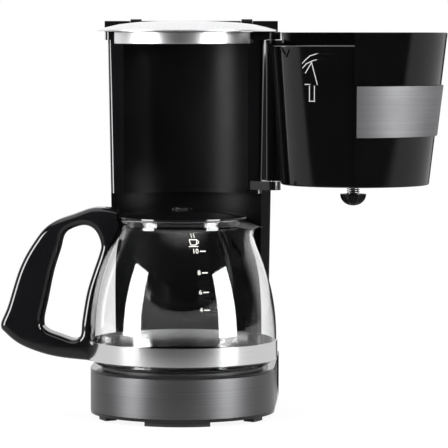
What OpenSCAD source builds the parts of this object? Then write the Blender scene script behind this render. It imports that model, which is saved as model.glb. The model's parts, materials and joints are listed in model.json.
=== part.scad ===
// Drip coffee maker with a filter basket that swings out on a vertical hinge.
// Origin: on the brew axis, at the plane the feet stand on. +X right, +Y back, +Z up.

/* [Base] */
// Height of the feet under the base
foot_h = 4; // [3:0.5:8]
// Height of the base, from its lower rim to its deck
base_h = 35.4; // [32:0.2:50]
// Radius of the round front of the base
base_r = 73; // [72:0.5:85]
// Distance from the brew axis to the back
back_y = 128; // [122:1:150]
// Radius of the rear corners
corner_r = 18; // [12:1:24]
// Wall of the plastic housings
wall = 2.6; // [2:0.1:3.6]
// Thickness of the steel band round the base
band_t = 0.8; // [0.5:0.1:1.4]
// Height of the plastic rims above and below the steel band
band_rim = 2.2; // [1:0.1:5]
// How far back the steel band of the base runs
band_back = 62; // [30:1:100]
// Radius of the warming plate's flange
plate_r = 64; // [56:0.5:66]
// Thickness of the warming plate's flange
plate_t = 1; // [0.8:0.1:2]

/* [Column] */
// Half width of the column at its front edge, at the top
column_front_half = 63; // [58:0.5:66]
// Half width of the column at its back, at the top
column_back_half = 68.4; // [64:0.2:71]
// How much narrower each side is at the deck
column_draft = 4.6; // [1:0.1:6]
// Distance from the brew axis to the front edges of the column
column_front = 43; // [40:0.5:46]
// Room round the basket's holder in the recess
recess_gap = 1.7; // [1.2:0.1:2.5]
// Radius of the bay that the carafe stands in
bay_r = 77; // [76.5:0.5:79]
// Distance of the bay's ceiling below the basket
lip_drop = 10.6; // [9:0.2:14]
// Height of the lip over the bay
lip_h = 4; // [2:0.5:6]

/* [Top] */
// Height of the frame on top of the column
frame_h = 6.5; // [5:0.1:9]
// Half width of the frame at the back
frame_half = 72; // [70:0.5:76]
// Height of the hinge wall at the back of the frame
hinge_wall_h = 9; // [7:0.5:12]
// Radius of the lid's round front
lid_r = 67; // [62:0.5:70]
// How far the lid's front circle lies ahead of the brew axis
lid_lead = 4; // [0:0.5:8]
// Half width of the lid at its back edge
lid_back_half = 71; // [69:0.5:72]
// Rise of the lid's dome
lid_rise = 8; // [4:0.5:12]
// Thickness of the lid's steel
lid_t = 1; // [0.8:0.1:1.6]
// Distance of the lid's hinge from the back
lid_hinge_in = 10; // [8:0.5:12]
// Radius of the lid's hinge pins
lid_pin_r = 1.5; // [1:0.1:2]
// Half distance between the lid's two knuckles
knuckle_x = 46; // [36:1:52]
// Width of each knuckle
knuckle_w = 9; // [6:0.5:12]

/* [Spray head] */
// Outer radius of the ring under the lid
ring_r = 53.5; // [48:0.5:53.5]
// Height of that ring
ring_h = 9.1; // [8:0.1:9.4]
// Wall of the ring
ring_t = 1.6; // [1:0.1:2.5]
// Thickness of the spray plate
spray_t = 1.6; // [1.2:0.1:2.4]
// Radius of the spray holes
spray_hole_r = 1.6; // [1:0.1:2.2]
// Width of the water arm
arm_w = 14; // [10:0.5:18]
// Outer radius of the riser tube
riser_r = 5; // [4:0.5:6]
// Wall of the riser tube
tube_wall = 1.2; // [0.8:0.1:1.6]

/* [Filter basket] */
// Distance of the basket's bottom above the rim of the glass
basket_rise = 27.6; // [26:0.2:32]
// Height of the basket's shell
shell_h = 119; // [112:0.5:122]
// Outer radius of the shell at its rim
shell_top_r = 73.5; // [72.5:0.1:74.5]
// Outer radius of the shell at its lower edge
shell_low_r = 59.4; // [59:0.1:62]
// Wall of the shell
shell_t = 2.2; // [1.6:0.1:2.4]
// Angle from the front to each vertical edge of the shell
shell_half_angle = 113; // [100:1:113]
// Gap between the shell and the holder at the rim
rim_gap = 7; // [6.5:0.1:9]
// Wall of the holder
holder_t = 2.2; // [1.6:0.1:3]
// Distance of the steel band's lower edge above the basket's bottom
steel_z = 38.5; // [20:0.5:60]
// Width of the steel band
steel_w = 39.5; // [20:0.5:50]
// How far the steel band stands out
steel_t = 1.8; // [1:0.1:2.2]
// Angle that the basket is swung open
open_angle = 114; // [100:1:120]
// Hinge axis, to the right of the brew axis
hinge_x = 70; // [69:0.5:72]
// Hinge axis, behind the brew axis
hinge_y = 40; // [38:0.5:41]
// Radius of the basket's hinge pin
pin_r = 2; // [1.5:0.1:2.5]
// Outer radius of the hinge barrel
barrel_r = 5.5; // [4.5:0.1:6]

/* [Filter insert and drip valve] */
// Thickness of the filter insert's wall
insert_t = 1.8; // [1.4:0.1:2.4]
// Radius of the filter insert at its floor
insert_low_r = 30; // [20:1:38]
// Number of ribs inside the filter insert
insert_ribs = 12; // [8:1:16]
// Radius of the drip valve's stem
stem_r = 3.4; // [2.5:0.1:4]
// Radius of the drip valve's dome
dome_r = 10; // [8:0.5:12]
// Height of the drip valve's dome
dome_h = 9; // [6:0.5:9.5]
// Wire radius of the valve spring
wire_r = 0.45; // [0.3:0.05:0.6]

/* [Carafe] */
// Largest radius of the glass
glass_r = 74.4; // [72:0.1:74.8]
// Radius of the glass at its neck
neck_r = 50.2; // [46:0.1:52]
// Height of the glass
glass_h = 117; // [112:0.5:118]
// Wall of the glass
glass_t = 2.2; // [1.8:0.1:3]
// Height of the steel clamp band's lower edge above the foot of the glass
clamp_z = 6.5; // [4:0.5:10]
// Width of the steel clamp band
clamp_w = 14.5; // [8:0.5:18]
// Thickness of the steel clamp band
clamp_t = 0.8; // [0.5:0.1:1.2]
// Reach of the handle from the brew axis
handle_reach = 143.8; // [135:0.2:150]
// Width of the handle
handle_w = 26; // [22:1:32]
// Radius of the hinge pin of the carafe's lid
lid_axle_r = 1.2; // [1:0.1:1.6]

/* [Switch and inlet] */
// Distance of the switch behind the brew axis
switch_y = 92; // [80:1:100]
// Width of the switch's frame
switch_w = 24; // [20:1:28]
// Height of the switch's frame
switch_h = 18; // [15:1:22]
// Sideways place of the cord inlet
gland_x = 42; // [20:1:48]
// Outer radius of the cord inlet's sleeve
gland_r = 6; // [5:0.5:8]
// Radius of the cord inlet's hole
gland_bore_r = 3.6; // [3:0.1:4.5]

/* [Clearances] */
// Gap between pieces that are fixed to each other
seat_gap = 0.05; // [0.02:0.01:0.1]
// Gap round a shaft that turns or slides
run_gap = 0.06; // [0.03:0.01:0.1]
// Gap between pieces that move past each other
move_gap = 0.4; // [0.3:0.05:0.8]
// Gap under a piece that rests on another body
rest_gap = 0.2; // [0.1:0.05:0.3]

/* [Hidden] */
$fn = 96;

// Levels
deck_z = foot_h + base_h;
plate_top = deck_z + plate_t;
glass_low = plate_top + rest_gap;
glass_top = glass_low + glass_h;
shell_low = glass_top + basket_rise;
shell_top = shell_low + shell_h;
frame_top = shell_top + 0.3;
column_top = frame_top - frame_h;
column_h = column_top - deck_z;
lid_z = frame_top + 0.5;
hinge_z = frame_top + hinge_wall_h - lid_pin_r - 1;
hinge_back = back_y - lid_hinge_in;
holder_top_r = shell_top_r - shell_t - rim_gap;
holder_low_r = shell_low_r - shell_t - 0.4;
recess_r = holder_top_r + recess_gap;
ring_top = frame_top;
ring_low = ring_top - ring_h;
holder_top = ring_low - 1.6;
holder_low = shell_low;

// A point list along an arc
function arc(x, y, r, from, to, n) =
    [for (i = [0 : n]) let (a = from + (to - from) * i / n) [x + r * cos(a), y + r * sin(a)]];

// A cubic curve between two points with two control points
function bezier(p, n) = [for (i = [0 : n]) let (t = i / n, u = 1 - t)
    u * u * u * p[0] + 3 * u * u * t * p[1] + 3 * u * t * t * p[2] + t * t * t * p[3]];

// A smooth closed curve through points
function loop_curve(p, n) = [for (i = [0 : len(p) - 1], j = [0 : n - 1])
    let (t = j / n, m = len(p), a = p[(i + m - 1) % m], b = p[i], c = p[(i + 1) % m],
        d = p[(i + 2) % m])
    0.5 * (2 * b + (c - a) * t + (2 * a - 5 * b + 4 * c - d) * t * t
        + (3 * b - a - 3 * c + d) * t * t * t)];

// Plan with a round front, straight sides and two rear corners
function u_outline(r, half, back, corner, centre = 0) =
    let (p = half - corner, q = back - corner - centre,
        lean = acos((r - corner) / norm([p, q])) - atan2(q, p))
    concat(arc(0, centre, r, 180 + lean, 360 - lean, 44),
        arc(p, back - corner, corner, -lean, 90, 10),
        arc(-p, back - corner, corner, 90, 180 + lean, 10));

module slab(outline, low, high) {
    translate([0, 0, low]) linear_extrude(high - low) polygon(outline);
}

module disc(r, low, high) {
    translate([0, 0, low]) cylinder(r = r, h = high - low);
}

module block(low, high) {
    translate(low) cube(high - low);
}

module at(x, y) {
    translate([x, y, 0]) children();
}

// Places what is drawn for the closed basket in its open position
module swung() {
    at(hinge_x, hinge_y) rotate(open_angle) at(-hinge_x, -hinge_y) children();
}

/* Base */
function base_outline(inset = 0) =
    u_outline(base_r - inset, base_r - inset, back_y - inset, corner_r - inset);
groove = band_t + seat_gap;
core = band_t + wall;
well_r = plate_r - 4;
switch_z = foot_h + base_h / 2;

module base_housing() color([0.03, 0.03, 0.03]) difference() {
    union() {
        difference() {
            slab(base_outline(), foot_h, deck_z);
            slab(base_outline(core), foot_h - 1, deck_z - wall);
        }
        for (p = screw_points) at(p[0], p[1])
            disc(post_r, post_z + seat_gap, deck_z - wall + 0.5);
    }
    intersection() {
        difference() {
            slab(base_outline(-1), foot_h + band_rim, deck_z - band_rim);
            slab(base_outline(groove), foot_h, deck_z);
        }
        block([-base_r - 2, -base_r - 2, 0], [base_r + 2, band_back, deck_z]);
    }
    for (p = screw_points) at(p[0], p[1]) disc(screw_r + seat_gap, post_z - 1, screw_end + 0.5);
    disc(well_r + seat_gap, deck_z - wall - 1, deck_z + 1);
    at(riser_x, riser_y) disc(riser_r + seat_gap, deck_z - wall - 1, deck_z + 1);
    at(-riser_x, riser_y) disc(riser_r + seat_gap, deck_z - wall - 1, deck_z + 1);
    translate([-base_r - 1, switch_y, switch_z])
        block([0, frame_lip - switch_w / 2, frame_lip - switch_h / 2],
            [core + 2, switch_w / 2 - frame_lip, switch_h / 2 - frame_lip]);
    translate([gland_x, back_y + 1, switch_z]) rotate([90, 0, 0])
        cylinder(r = gland_r + seat_gap, h = core + 2);
}

module base_band() color([0.45, 0.45, 0.46]) intersection() {
    difference() {
        slab(base_outline(), foot_h + band_rim + seat_gap, deck_z - band_rim - seat_gap);
        slab(base_outline(band_t), foot_h, deck_z);
    }
    block([-base_r - 2, -base_r - 2, 0], [base_r + 2, band_back - seat_gap, deck_z]);
}

// Bottom plate with a stiffening ring round the heater, flush with the feet
bottom_z = foot_h + 0.5;
plate_wall = 2.2;
heater_ring_r = 30;
screw_r = 1.65;
head_r = 3;
head_z = bottom_z + 1.2;
shank_z = bottom_z + 3;
screw_end = shank_z + 9;
post_r = 4.5;
post_z = bottom_z + 9;
module bottom_plate() color([0.05, 0.05, 0.05]) difference() {
    union() {
        slab(base_outline(core + seat_gap), bottom_z, bottom_z + plate_wall);
        disc(heater_ring_r, 0, bottom_z + 1);
        for (p = screw_points) at(p[0], p[1]) disc(post_r, bottom_z, post_z);
    }
    disc(heater_ring_r - plate_wall, -1, bottom_z);
    for (x = [-24 : 8 : 24]) block([x - 1.5, back_y - 62, 0], [x + 1.5, back_y - 36, deck_z / 2]);
    for (p = screw_points) at(p[0], p[1]) {
        disc(screw_r + seat_gap, 0, post_z + 1);
        disc(head_r + 0.6, 0, shank_z);
    }
}
screw_points = [[29 - base_r, -40], [base_r - 29, -40],
    [25 - base_r, back_y - 24], [base_r - 25, back_y - 24]];

module base_screws() color("silver") for (p = screw_points) at(p[0], p[1]) {
    disc(screw_r, shank_z, screw_end);
    difference() {
        disc(head_r, head_z, shank_z);
        disc(head_r / 2, bottom_z, shank_z - 0.8);
    }
}

// A front pad, two side pads and two round rear feet
module rubber_feet() color([0.02, 0.02, 0.02]) {
    pad(-112, -68);
    pad(-160, -148);
    pad(-32, -20);
    for (s = [-1, 1]) at(s * (base_r - 17), back_y - 17) disc(7, 0, bottom_z);
}

module pad(from, to) {
    rotate(from) rotate_extrude(angle = to - from)
        translate([base_r - core - 11, 0]) square([10, bottom_z]);
}

// Warming plate, heater and what feeds it
module warming_plate() color([0.25, 0.25, 0.26]) union() {
    difference() {
        disc(plate_r, deck_z, plate_top);
        disc(well_r - 8, plate_top - plate_t / 2, plate_top + 1);
    }
    disc(well_r, deck_z - wall - 1, deck_z);
}

heater_z = deck_z - wall - 1 - 5;
heater_r = 38;
heater_leg = 40;
module heater_section() {
    translate([-riser_r, -4]) square([2 * riser_r, 9]);
    translate([0, -4]) circle(riser_r);
}

module heater_tube() color([0.75, 0.75, 0.76]) union() {
    rotate(180) rotate_extrude(angle = 180) translate([heater_r, heater_z]) heater_section();
    for (s = [-1, 1]) translate([s * heater_r, heater_leg, heater_z]) rotate([90, 0, 0])
        linear_extrude(heater_leg) heater_section();
}

module thermostat() color([0.8, 0.8, 0.78]) union() {
    disc(9, heater_z - 4, heater_z + 5);
    block([-16, -3, heater_z + 3.5], [16, 3, heater_z + 5]);
}

module terminal_block() color([0.85, 0.85, 0.82])
    block([12, 100, bottom_z + plate_wall], [34, 112, bottom_z + plate_wall + 12]);

// Silicone hoses: tank outlet to heater, heater to riser
riser_x = heater_r;
riser_y = 92;
hose_z = heater_z - 4;
module feed_hose() color([0.9, 0.9, 0.88]) for (s = [-1, 1]) difference() {
    union() {
        at(s * riser_x, riser_y) disc(riser_r, hose_z, deck_z);
        translate([s * riser_x, riser_y, hose_z]) sphere(riser_r);
        translate([s * riser_x, riser_y, hose_z]) rotate([90, 0, 0])
            cylinder(r = riser_r, h = riser_y - heater_leg - seat_gap);
    }
    at(s * riser_x, riser_y) disc(riser_r - tube_wall, hose_z, deck_z + 1);
}

module cord_gland() color([0.02, 0.02, 0.02]) translate([gland_x, back_y, switch_z])
    rotate([-90, 0, 0]) difference() {
        union() {
            translate([0, 0, -core - 3]) cylinder(r = gland_r, h = core + 3);
            cylinder(r = gland_r + 2, h = 1.6);
            translate([0, 0, -core - 3]) cylinder(r = gland_r + 1.5, h = 3 - seat_gap);
        }
        translate([0, 0, -core - 4]) cylinder(r = gland_bore_r, h = core + 8);
    }

// Rocker switch in the left side of the base
rocker_r = 1.5;
rocker_tilt = 6;
rocker_w = switch_w - 8;
rocker_h = switch_h - 7;
rocker_stub = 1.2;
pivot_in = 4;
frame_lip = 2;
module in_switch() {
    translate([-base_r, switch_y, switch_z]) rotate([0, -90, 0]) children();
}

module switch_frame() color([0.02, 0.02, 0.02]) in_switch() difference() {
    union() {
        block([-switch_h / 2, -switch_w / 2, 0], [switch_h / 2, switch_w / 2, 1.6]);
        block([frame_lip + seat_gap - switch_h / 2, frame_lip + seat_gap - switch_w / 2, -14],
            [switch_h / 2 - frame_lip - seat_gap, switch_w / 2 - frame_lip - seat_gap, 0.1]);
    }
    block([-rocker_h / 2 - move_gap, -rocker_w / 2 - move_gap, -11],
        [rocker_h / 2 + move_gap, rocker_w / 2 + move_gap, 3]);
    translate([0, -rocker_w / 2 - 1.5, -pivot_in]) rotate([-90, 0, 0])
        cylinder(r = rocker_r + run_gap, h = rocker_w + 3);
}

module power_rocker() color([0.5, 0.03, 0.03]) in_switch() translate([0, 0, -pivot_in])
    rotate([0, rocker_tilt, 0]) union() {
        translate([0, rocker_w / 2, 0]) rotate([90, 0, 0]) linear_extrude(rocker_w)
            polygon([[-rocker_h / 2 + 0.9, -2], [-rocker_h / 2 + 0.3, 5.4], [0, 6.6],
                [rocker_h / 2 - 0.3, 5.4], [rocker_h / 2 - 0.9, -2], [0, -4]]);
        translate([0, -rocker_w / 2 - rocker_stub, 0]) rotate([-90, 0, 0])
            cylinder(r = rocker_r, h = rocker_w + 2 * rocker_stub);
    }

/* Column */
function column_outline(z, inset = 0) =
    let (thin = column_draft * (column_top - z) / column_h,
        front = column_front_half - thin - inset, half = column_back_half - thin - inset,
        nose = max(4 - inset, 1), corner = corner_r - inset, back = back_y - inset)
    concat(arc(-front + nose, column_front + inset + nose, nose, 180, 270, 6),
        arc(front - nose, column_front + inset + nose, nose, -90, 0, 6),
        arc(half - corner, back - corner, corner, 0, 90, 10),
        arc(-half + corner, back - corner, corner, 90, 180, 10));

module column_solid(low, high, inset = 0) {
    hull() for (z = [low, high - 0.01]) slab(column_outline(z, inset), z, z + 0.01);
}

bay_top = shell_low - lip_drop;
lip_top = bay_top + lip_h;
tank_floor = deck_z + wall;

// What the recess and the bay leave open, shrunk by a wall for the tank's inside
module recess(grow = 0) {
    disc(bay_r + grow, deck_z - 1, bay_top);
    disc(recess_r - 1.5 + grow, bay_top - 1, lip_top + 1);
    disc(recess_r + grow, lip_top, column_top + 20);
}

module tank_space() difference() {
    column_solid(tank_floor, column_top + 1, wall);
    disc(bay_r + wall, deck_z - 1, bay_top + wall);
    disc(recess_r + wall, bay_top, column_top + 20);
}

window_low = [-base_r, 82, deck_z + 62];
window_high = [-base_r / 2, 92, column_top - 34];
module column_housing() color([0.03, 0.03, 0.03]) difference() {
    union() {
        difference() {
            column_solid(deck_z, column_top);
            recess();
            tank_space();
        }
        bracket(bracket_low, bracket_top);
    }
    block(window_low, window_high);
    at(hinge_x, hinge_y) disc(pin_r + seat_gap / 2, bracket_low - 1, bracket_top + 1);
    at(riser_x, riser_y) disc(riser_r + seat_gap, deck_z - 1, tank_floor + 1);
    at(-riser_x, riser_y) disc(riser_r - tube_wall, deck_z - 1, tank_floor + 1);
}

module level_window() color([0.8, 0.85, 0.9, 0.5]) intersection() {
    difference() {
        column_solid(deck_z, column_top);
        tank_space();
    }
    block(window_low + [0, seat_gap, seat_gap], window_high - [0, seat_gap, seat_gap]);
}

// Ear that carries the basket's pin beside the column's front edge
bracket_top = holder_low - move_gap;
bracket_low = bracket_top - 7;
eye_r = 6.5;
module bracket(low, high) difference() {
    union() {
        at(hinge_x, hinge_y) disc(eye_r, low, high);
        slab([[hinge_x - 1, hinge_y - eye_r], [52, column_front - 1], [54, column_front + 4],
            [column_front_half - 5, 62], [hinge_x + 1, hinge_y + eye_r]], low, high);
    }
    disc(recess_r, low - 1, high + 1);
}

module riser_tube() color([0.85, 0.85, 0.82]) at(riser_x, riser_y) difference() {
    disc(riser_r, deck_z + seat_gap, arm_low - seat_gap);
    disc(riser_r - tube_wall, deck_z, arm_low + 1);
}

/* Top */
function frame_outline(inset = 0) =
    let (front = column_front_half + 2 - inset, half = frame_half - inset, nose = 4,
        back = back_y + 1 - inset, corner = corner_r - inset)
    concat(arc(-front + nose, column_front + nose, nose, 180, 270, 6),
        arc(front - nose, column_front + nose, nose, -90, 0, 6),
        arc(half - corner, back - corner, corner, 0, 90, 10),
        arc(-half + corner, back - corner, corner, 90, 180, 10));

wall_front = hinge_back - 4.5;
wall_top = frame_top + hinge_wall_h;
module top_frame() color([0.03, 0.03, 0.03]) difference() {
    union() {
        slab(frame_outline(), column_top, frame_top);
        intersection() {
            slab(frame_outline(), column_top, wall_top);
            block([-frame_half, wall_front, column_top], [frame_half, back_y + 2, wall_top]);
        }
        bracket(frame_top - frame_h + move_gap, frame_top);
        block([-30, 40, column_top + 1], [30, recess_r + 4, frame_top]);
    }
    difference() {
        disc(recess_r, column_top - 1, frame_top + 1);
        block([-30, 40, column_top + 1], [30, recess_r + 4, frame_top]);
    }
    disc(ring_r + seat_gap, column_top - 1, frame_top + 1);
    intersection() {
        tank_mouth();
        block([-frame_half, 0, column_top - 1], [frame_half, wall_front - wall, frame_top + 1]);
    }
    block([-arm_w / 2 - seat_gap, 40, column_top + 1], [arm_w / 2 + seat_gap, 90, frame_top + 1]);
    for (s = [-1, 1]) block([s * knuckle_x - knuckle_w / 2 - move_gap, wall_front - 1, frame_top],
        [s * knuckle_x + knuckle_w / 2 + move_gap, back_y + 2, wall_top + 1]);
    for (s = [-1, 1]) translate([s * knuckle_x - knuckle_w, hinge_back, hinge_z])
        rotate([0, 90, 0]) cylinder(r = lid_pin_r + seat_gap / 2, h = 2 * knuckle_w);
    at(hinge_x, hinge_y) disc(pin_r + seat_gap / 2, column_top - 1, frame_top - 1);
}

module tank_mouth() difference() {
    slab(column_outline(column_top, wall), column_top - 1, frame_top + 1);
    disc(recess_r + wall, column_top - 2, frame_top + 2);
}

module basket_pin() color("silver") at(hinge_x, hinge_y)
    disc(pin_r, bracket_low, frame_top - 1.2);

module lid_pins() color("silver") for (s = [-1, 1])
    translate([s * knuckle_x - knuckle_w + 0.5, hinge_back, hinge_z])
        rotate([0, 90, 0]) cylinder(r = lid_pin_r, h = 2 * knuckle_w - 1);

// Spray head: steel ring, holed plate and the arm that brings hot water
module spray_ring() color([0.7, 0.7, 0.7]) difference() {
    union() {
        difference() {
            disc(ring_r, ring_low, ring_top);
            disc(ring_r - ring_t, ring_low - 1, ring_top + 1);
        }
        difference() {
            disc(ring_r, ring_low, ring_low + 0.8);
            disc(ring_r - ring_t - 2, ring_low - 1, ring_top + 1);
        }
    }
    block([-arm_w / 2 - seat_gap, 20, column_top + 1], [arm_w / 2 + seat_gap, 60, ring_top + 1]);
}

module spray_plate() color([0.05, 0.05, 0.05]) difference() {
    disc(ring_r - ring_t - seat_gap, ring_low + 0.8, ring_low + 0.8 + spray_t);
    for (r = [12, 24, 36], k = [0 : r / 2 - 1]) rotate(k * 720 / r)
        translate([r, 0, ring_low]) cylinder(r = spray_hole_r, h = 4);
}

arm_low = column_top + 1;
arm_high = frame_top - 0.2;
module water_arm() color([0.08, 0.08, 0.08]) difference() {
    union() {
        block([-arm_w / 2, -4, arm_low], [arm_w / 2, riser_y, arm_high]);
        block([-arm_w / 2, riser_y - arm_w, arm_low],
            [riser_x + arm_w / 2, riser_y + arm_w / 2, arm_high]);
        disc(5, ring_low + 0.8 + spray_t, arm_low + 1);
    }
    block([-arm_w / 2 + 1.5, -2, arm_low + 1.5], [arm_w / 2 - 1.5, riser_y - 1, arm_high - 1.5]);
    block([-arm_w / 2 + 1.5, riser_y - arm_w + 2, arm_low + 1.5],
        [riser_x + arm_w / 2 - 2, riser_y + arm_w / 2 - 2, arm_high - 1.5]);
    disc(2.6, ring_low, arm_low + 3);
    at(riser_x, riser_y) disc(riser_r - tube_wall, arm_low - 1, arm_low + 3);
}

/* Lid: a domed steel cover on a plastic frame with two knuckles */
lid_back = wall_front - 1;
dome = [[0, 0], [0.4, 0.15], [8, 0.42], [18, 0.7], [32, 0.9], [48, 1]];
function lid_outline(inset) = u_outline(lid_r - inset, lid_back_half - inset,
    lid_back - 0.3 * inset, corner_r - 0.3 * inset, -lid_lead);

module lid_dome(inset, drop) {
    hull() for (d = dome) let (z = lid_z + max(d[1] * lid_rise - drop, 0))
        slab(lid_outline(d[0] + inset), z, z + 0.01);
}

module knuckle_slots(gap) {
    for (s = [-1, 1]) block(
        [s * knuckle_x - knuckle_w / 2 - gap, lid_back - 16, lid_z - 1],
        [s * knuckle_x + knuckle_w / 2 + gap, lid_back + 9, lid_z + 12]);
}

module lid_cover() color("silver") difference() {
    lid_dome(0, 0);
    lid_dome(lid_t, lid_t);
    translate([0, 0, -0.5]) slab(lid_outline(lid_t), lid_z - 0.5, lid_z + 0.6);
    knuckle_slots(seat_gap);
}

module lid_frame() color([0.03, 0.03, 0.03]) difference() {
    union() {
        slab(lid_outline(9), lid_z + 0.1, lid_z + 2.2);
        for (s = [-1, 1]) {
            block([s * knuckle_x - knuckle_w / 2, lid_back - 15, lid_z + 0.1],
                [s * knuckle_x + knuckle_w / 2, hinge_back, hinge_z]);
            translate([s * knuckle_x - knuckle_w / 2, hinge_back, hinge_z])
                rotate([0, 90, 0]) cylinder(r = 4, h = knuckle_w);
        }
    }
    for (s = [-1, 1]) translate([s * knuckle_x - knuckle_w, hinge_back, hinge_z])
        rotate([0, 90, 0]) cylinder(r = lid_pin_r + run_gap, h = 2 * knuckle_w);
}

/* Filter basket, drawn closed and swung open as one */
function shell_r(z) = shell_low_r + (shell_top_r - shell_low_r) * (z - shell_low) / shell_h;
function holder_r(z) = holder_low_r
    + (holder_top_r - holder_low_r) * (z - holder_low) / (holder_top - holder_low);
hinge_angle = atan2(hinge_y, hinge_x);
hinge_reach = norm([hinge_x, hinge_y]);
outlet_r = stem_r + run_gap;
boss_low = holder_low - 2;
floor_top = holder_low + 3;
ledge_z = holder_top - 8;
ledge_w = 2.4;
leaf_t = 5;
leaf_end = hinge_reach - (pin_r + barrel_r) / 2;
skin = 0.2;

module ring_sector(from, to, profile) {
    rotate(from) rotate_extrude(angle = to - from) polygon(profile);
}

module basket_holder() color([0.04, 0.04, 0.04]) swung() difference() {
    union() {
        rotate_extrude() polygon([
            [outlet_r, boss_low], [9, boss_low], [9, holder_low], [holder_low_r, holder_low],
            [holder_top_r, holder_top], [holder_top_r - holder_t, holder_top],
            [holder_r(ledge_z) - holder_t, ledge_z],
            [holder_r(ledge_z) - holder_t - ledge_w, ledge_z],
            [holder_r(ledge_z - 5) - holder_t, ledge_z - 5],
            [holder_low_r - holder_t, holder_low + 8], [12, floor_top], [outlet_r, floor_top]]);
        ring_sector(hinge_angle - 6, hinge_angle + 9, [
            [holder_r(holder_top - 2) - holder_t + skin, holder_top - 2],
            [holder_r(holder_top - 2) - skin, holder_top - 2],
            [holder_r(shell_top) - skin, shell_top],
            [holder_r(shell_top) - holder_t + skin, shell_top]]);
        rotate(hinge_angle) rotate([90, 0, 0]) translate([0, 0, -leaf_t / 2])
            linear_extrude(leaf_t) polygon([[holder_low_r - 1, holder_low],
                [leaf_end, holder_low], [leaf_end, column_top],
                [holder_top_r - 1, column_top], [holder_top_r - 1, holder_top]]);
        at(hinge_x, hinge_y) disc(barrel_r, holder_low, column_top);
    }
    at(hinge_x, hinge_y) disc(pin_r + run_gap, holder_low - 1, column_top + 1);
}

module basket_shell() color([0.03, 0.03, 0.03]) swung() union() {
    ring_sector(-90 - shell_half_angle, -90 + shell_half_angle, [
        [shell_low_r - shell_t, shell_low], [shell_low_r, shell_low],
        [shell_top_r, shell_top], [shell_top_r - shell_t, shell_top]]);
    for (a = [-90 - shell_half_angle, -91.8 + shell_half_angle]) ring_sector(a, a + 1.8, [
        [holder_low_r + seat_gap, shell_low], [shell_low_r - 0.5, shell_low],
        [shell_r(holder_top) - 0.5, holder_top], [holder_top_r + seat_gap, holder_top]]);
}

module basket_band() color([0.5, 0.5, 0.51]) swung() let (low = shell_low + steel_z,
    high = low + steel_w, half = shell_half_angle - 1.5)
    ring_sector(-90 - half, -90 + half, [[shell_r(low) + seat_gap, low],
        [shell_r(low) + steel_t, low], [shell_r(high) + steel_t, high],
        [shell_r(high) + seat_gap, high]]);

// Lift-out filter insert with inside ribs and a holed floor
insert_low = holder_low + 12;
flange_low = ledge_z + rest_gap;
insert_top_r = holder_r(ledge_z) - holder_t - ledge_w - 1;
module insert_cone(inner) {
    polygon([[0, insert_low + inner], [insert_low_r - inner, insert_low + inner],
        [insert_top_r - inner, flange_low], [insert_top_r - inner, flange_low + 3 + inner],
        [0, flange_low + 3 + inner]]);
}

module filter_insert() color([0.07, 0.07, 0.07]) swung() difference() {
    union() {
        difference() {
            union() {
                rotate_extrude() insert_cone(0);
                disc(insert_top_r + 3, flange_low, flange_low + 2);
            }
            rotate_extrude() insert_cone(insert_t);
        }
        for (k = [1 : insert_ribs]) rotate(k * 360 / insert_ribs) rotate([90, 0, 0])
            translate([0, 0, -0.6]) linear_extrude(1.2) polygon([
                [insert_low_r - insert_t - 1, insert_low + 1], [insert_low_r - 1, insert_low + 1],
                [insert_top_r - 1, flange_low - 6], [insert_top_r - insert_t - 1, flange_low - 6]]);
    }
    for (k = [0 : 5]) rotate(k * 60) translate([14, 0, insert_low - 1])
        cylinder(r = 2.2, h = 6);
    disc(2.2, insert_low - 1, insert_low + 6);
}

// Drip valve: ribbed dome, fluted stem, seal and spring
knob_top = glass_top + 10.4;
dome_low = knob_top + move_gap;
dome_top = dome_low + dome_h;
seal_t = 1.5;
seal_low = floor_top + seat_gap;
module drip_valve() color([0.05, 0.05, 0.05]) swung() difference() {
    union() {
        rotate_extrude() dome_profile(dome_r);
        for (k = [0 : 7]) rotate(k * 45) rotate([90, 0, 0]) translate([0, 0, -0.5])
            linear_extrude(1) dome_profile(dome_r + 0.8);
        disc(stem_r, dome_top - 1, seal_low + seal_t + 1);
        disc(stem_r + 1.6, seal_low + seal_t, seal_low + seal_t + 1.2);
    }
    for (k = [0 : 2]) rotate(k * 120) translate([stem_r, 0, dome_top + 1])
        cylinder(r = 1, h = seal_low - dome_top - 1);
}

module dome_profile(r) {
    translate([0, dome_low]) polygon(concat([[0, dome_h]],
        [for (a = [0 : 9 : 90]) [r * sin(a), dome_h * (1 - cos(a))]]));
}

module valve_seal() color([0.6, 0.6, 0.58]) swung() difference() {
    disc(8, seal_low, seal_low + seal_t);
    disc(stem_r, seal_low - 1, seal_low + 3);
}

// Helical spring, swept as rings of points along its wire
spring_low = dome_top + wire_r + seat_gap;
spring_high = boss_low - wire_r - seat_gap;
spring_r = stem_r + 1.3;
turns = 3;
steps = 48;
sides = 8;
module valve_spring() color("silver") swung() polyhedron(
    points = [for (i = [0 : steps], j = [0 : sides - 1])
        let (a = i * turns * 360 / steps, b = j * 360 / sides, r = spring_r + wire_r * cos(b),
            z = spring_low + (spring_high - spring_low) * i / steps + wire_r * sin(b))
        [r * cos(a), r * sin(a), z]],
    faces = concat([[for (j = [0 : sides - 1]) j]],
        [[for (j = [sides - 1 : -1 : 0]) steps * sides + j]],
        [for (i = [0 : steps - 1], j = [0 : sides - 1]) let (k = (j + 1) % sides)
            [i * sides + j, (i + 1) * sides + j, (i + 1) * sides + k]],
        [for (i = [0 : steps - 1], j = [0 : sides - 1]) let (k = (j + 1) % sides)
            [i * sides + j, (i + 1) * sides + k, i * sides + k]]));

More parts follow.
